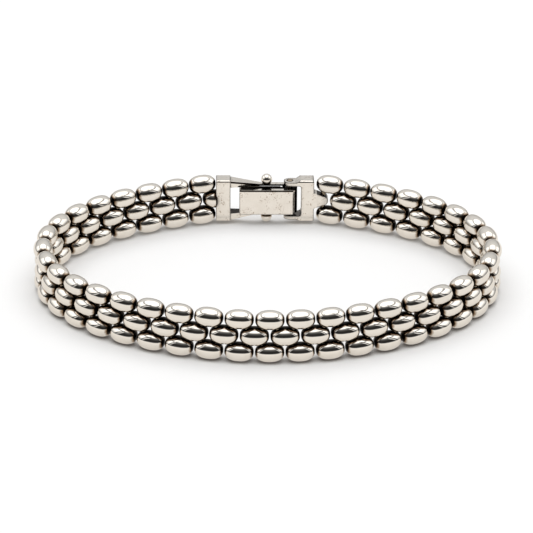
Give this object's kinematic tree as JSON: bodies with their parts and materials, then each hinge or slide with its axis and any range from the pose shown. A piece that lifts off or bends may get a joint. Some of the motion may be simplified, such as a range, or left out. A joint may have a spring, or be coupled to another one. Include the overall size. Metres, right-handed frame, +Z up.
{
  "type": "link bracelet",
  "caption": "Flexible link bracelet of three rows of polished oval beads in a brick pattern, with a frame clasp that a hinged keeper plate locks.",
  "frame": {"origin": "on the floor under the middle of the ring, which stands on edge", "axes": "+Z up, along the wrist opening; +X along the ring's long axis; +Y towards the clasp"},
  "size_m": [0.0714, 0.0494, 0.0083],
  "materials": {
    "bead_metal": "mirror polished white metal, dark in the crevices",
    "clasp_metal": "polished white metal with fine wear scratches",
    "pin_metal": "drawn wire, darkened"
  },
  "bodies": {
    "bracket": {"clasp_bracket": "clasp_metal", "hinge_pin": "pin_metal"},
    "keeper": {"keeper_plate": "clasp_metal"},
    "link_01": {"link_01": "bead_metal"},
    "link_02": {"link_02": "bead_metal"},
    "link_03": {"link_03": "bead_metal"},
    "link_04": {"link_04": "bead_metal"},
    "link_05": {"link_05": "bead_metal"},
    "link_06": {"link_06": "bead_metal"},
    "link_07": {"link_07": "bead_metal"},
    "link_08": {"link_08": "bead_metal"},
    "link_09": {"link_09": "bead_metal"},
    "link_10": {"link_10": "bead_metal"},
    "link_11": {"link_11": "bead_metal"},
    "link_12": {"link_12": "bead_metal"},
    "link_13": {"link_13": "bead_metal"},
    "link_14": {"link_14": "bead_metal"},
    "link_15": {"link_15": "bead_metal"},
    "link_16": {"link_16": "bead_metal"},
    "link_17": {"link_17": "bead_metal"},
    "link_18": {"link_18": "bead_metal"},
    "link_19": {"link_19": "bead_metal"},
    "link_20": {"link_20": "bead_metal"},
    "link_21": {"link_21": "bead_metal"},
    "link_22": {"link_22": "bead_metal"},
    "link_23": {"link_23": "bead_metal"},
    "link_24": {"link_24": "bead_metal"},
    "link_25": {"link_25": "bead_metal"},
    "link_26": {"link_26": "bead_metal"},
    "link_27": {"link_27": "bead_metal"},
    "link_28": {"link_28": "bead_metal"},
    "link_29": {"link_29": "bead_metal"},
    "link_30": {"link_30": "bead_metal"},
    "link_31": {"link_31": "bead_metal"},
    "link_32": {"link_32": "bead_metal"},
    "link_33": {"link_33": "bead_metal"},
    "link_34": {"link_34": "bead_metal"},
    "link_35": {"link_35": "bead_metal"},
    "link_36": {"link_36": "bead_metal"},
    "link_37": {"link_37": "bead_metal"},
    "frame": {"end_block": "clasp_metal", "end_lug": "bead_metal", "top_rail": "clasp_metal", "bottom_rail": "clasp_metal", "top_ball": "bead_metal", "bottom_ball": "bead_metal"}
  },
  "joints": [
    {"name": "keeper_fold", "type": "hinge", "parent": "bracket", "child": "keeper", "pos_m": [0.00377, 0.02323, 0.00414], "axis": [0, 0, 1], "range_deg": [0, 90]},
    {"name": "link_01_hinge", "type": "hinge", "parent": "bracket", "child": "link_01", "pos_m": [0.00907, 0.02323, 0.00414], "axis": [0, 0, 1], "range_deg": [0, 23.9]},
    {"name": "link_02_hinge", "type": "hinge", "parent": "link_01", "child": "link_02", "pos_m": [0.01335, 0.02183, 0.00414], "axis": [0, 0, 1], "range_deg": [0, 8.6]},
    {"name": "link_03_hinge", "type": "hinge", "parent": "link_02", "child": "link_03", "pos_m": [0.01753, 0.02019, 0.00414], "axis": [0, 0, 1], "range_deg": [0, 9.7]},
    {"name": "link_04_hinge", "type": "hinge", "parent": "link_03", "child": "link_04", "pos_m": [0.02158, 0.01822, 0.00414], "axis": [0, 0, 1], "range_deg": [0, 11.6]},
    {"name": "link_05_hinge", "type": "hinge", "parent": "link_04", "child": "link_05", "pos_m": [0.0254, 0.01584, 0.00414], "axis": [0, 0, 1], "range_deg": [0, 14]},
    {"name": "link_06_hinge", "type": "hinge", "parent": "link_05", "child": "link_06", "pos_m": [0.02883, 0.01293, 0.00414], "axis": [0, 0, 1], "range_deg": [0, 16.8]},
    {"name": "link_07_hinge", "type": "hinge", "parent": "link_06", "child": "link_07", "pos_m": [0.03163, 0.00942, 0.00414], "axis": [0, 0, 1], "range_deg": [0, 19.2]},
    {"name": "link_08_hinge", "type": "hinge", "parent": "link_07", "child": "link_08", "pos_m": [0.03353, 0.00535, 0.00414], "axis": [0, 0, 1], "range_deg": [0, 20.7]},
    {"name": "link_09_hinge", "type": "hinge", "parent": "link_08", "child": "link_09", "pos_m": [0.03427, 0.00093, 0.00414], "axis": [0, 0, 1], "range_deg": [0, 21]},
    {"name": "link_10_hinge", "type": "hinge", "parent": "link_09", "child": "link_10", "pos_m": [0.03377, -0.00354, 0.00414], "axis": [0, 0, 1], "range_deg": [0, 20.1]},
    {"name": "link_11_hinge", "type": "hinge", "parent": "link_10", "child": "link_11", "pos_m": [0.0321, -0.0077, 0.00414], "axis": [0, 0, 1], "range_deg": [0, 18.1]},
    {"name": "link_12_hinge", "type": "hinge", "parent": "link_11", "child": "link_12", "pos_m": [0.02949, -0.01136, 0.00414], "axis": [0, 0, 1], "range_deg": [0, 15.6]},
    {"name": "link_13_hinge", "type": "hinge", "parent": "link_12", "child": "link_13", "pos_m": [0.02621, -0.01444, 0.00414], "axis": [0, 0, 1], "range_deg": [0, 13.3]},
    {"name": "link_14_hinge", "type": "hinge", "parent": "link_13", "child": "link_14", "pos_m": [0.02251, -0.01698, 0.00414], "axis": [0, 0, 1], "range_deg": [0, 11.5]},
    {"name": "link_15_hinge", "type": "hinge", "parent": "link_14", "child": "link_15", "pos_m": [0.01852, -0.01906, 0.00414], "axis": [0, 0, 1], "range_deg": [0, 10.5]},
    {"name": "link_16_hinge", "type": "hinge", "parent": "link_15", "child": "link_16", "pos_m": [0.01434, -0.02074, 0.00414], "axis": [0, 0, 1], "range_deg": [0, 10.4]},
    {"name": "link_17_hinge", "type": "hinge", "parent": "link_16", "child": "link_17", "pos_m": [0.01003, -0.02201, 0.00414], "axis": [0, 0, 1], "range_deg": [0, 10.7]},
    {"name": "link_18_hinge", "type": "hinge", "parent": "link_17", "child": "link_18", "pos_m": [0.00561, -0.02286, 0.00414], "axis": [0, 0, 1], "range_deg": [0, 11.2]},
    {"name": "link_19_hinge", "type": "hinge", "parent": "link_18", "child": "link_19", "pos_m": [0.00112, -0.02323, 0.00414], "axis": [0, 0, 1], "range_deg": [0, 11.4]},
    {"name": "link_20_hinge", "type": "hinge", "parent": "link_19", "child": "link_20", "pos_m": [-0.00337, -0.02311, 0.00414], "axis": [0, 0, 1], "range_deg": [0, 11.2]},
    {"name": "link_21_hinge", "type": "hinge", "parent": "link_20", "child": "link_21", "pos_m": [-0.00783, -0.02249, 0.00414], "axis": [0, 0, 1], "range_deg": [0, 10.7]},
    {"name": "link_22_hinge", "type": "hinge", "parent": "link_21", "child": "link_22", "pos_m": [-0.0122, -0.02143, 0.00414], "axis": [0, 0, 1], "range_deg": [0, 10.4]},
    {"name": "link_23_hinge", "type": "hinge", "parent": "link_22", "child": "link_23", "pos_m": [-0.01645, -0.01995, 0.00414], "axis": [0, 0, 1], "range_deg": [0, 10.5]},
    {"name": "link_24_hinge", "type": "hinge", "parent": "link_23", "child": "link_24", "pos_m": [-0.02054, -0.01808, 0.00414], "axis": [0, 0, 1], "range_deg": [0, 11.5]},
    {"name": "link_25_hinge", "type": "hinge", "parent": "link_24", "child": "link_25", "pos_m": [-0.0244, -0.01578, 0.00414], "axis": [0, 0, 1], "range_deg": [0, 13.3]},
    {"name": "link_26_hinge", "type": "hinge", "parent": "link_25", "child": "link_26", "pos_m": [-0.02792, -0.01297, 0.00414], "axis": [0, 0, 1], "range_deg": [0, 15.6]},
    {"name": "link_27_hinge", "type": "hinge", "parent": "link_26", "child": "link_27", "pos_m": [-0.03089, -0.00961, 0.00414], "axis": [0, 0, 1], "range_deg": [0, 18.1]},
    {"name": "link_28_hinge", "type": "hinge", "parent": "link_27", "child": "link_28", "pos_m": [-0.03307, -0.00567, 0.00414], "axis": [0, 0, 1], "range_deg": [0, 20.1]},
    {"name": "link_29_hinge", "type": "hinge", "parent": "link_28", "child": "link_29", "pos_m": [-0.03418, -0.00132, 0.00414], "axis": [0, 0, 1], "range_deg": [0, 21]},
    {"name": "link_30_hinge", "type": "hinge", "parent": "link_29", "child": "link_30", "pos_m": [-0.03406, 0.00316, 0.00414], "axis": [0, 0, 1], "range_deg": [0, 20.7]},
    {"name": "link_31_hinge", "type": "hinge", "parent": "link_30", "child": "link_31", "pos_m": [-0.03271, 0.00745, 0.00414], "axis": [0, 0, 1], "range_deg": [0, 19.2]},
    {"name": "link_32_hinge", "type": "hinge", "parent": "link_31", "child": "link_32", "pos_m": [-0.03032, 0.01125, 0.00414], "axis": [0, 0, 1], "range_deg": [0, 16.8]},
    {"name": "link_33_hinge", "type": "hinge", "parent": "link_32", "child": "link_33", "pos_m": [-0.02717, 0.01446, 0.00414], "axis": [0, 0, 1], "range_deg": [0, 14]},
    {"name": "link_34_hinge", "type": "hinge", "parent": "link_33", "child": "link_34", "pos_m": [-0.02353, 0.01709, 0.00414], "axis": [0, 0, 1], "range_deg": [0, 11.6]},
    {"name": "link_35_hinge", "type": "hinge", "parent": "link_34", "child": "link_35", "pos_m": [-0.01958, 0.01925, 0.00414], "axis": [0, 0, 1], "range_deg": [0, 9.7]},
    {"name": "link_36_hinge", "type": "hinge", "parent": "link_35", "child": "link_36", "pos_m": [-0.01545, 0.02104, 0.00414], "axis": [0, 0, 1], "range_deg": [0, 8.6]},
    {"name": "link_37_hinge", "type": "hinge", "parent": "link_36", "child": "link_37", "pos_m": [-0.01122, 0.02256, 0.00414], "axis": [0, 0, 1], "range_deg": [0, 6.6]},
    {"name": "frame_hinge", "type": "hinge", "parent": "link_37", "child": "frame", "pos_m": [-0.00907, 0.02323, 0.00414], "axis": [0, 0, 1], "range_deg": [0, 22.3]}
  ]
}
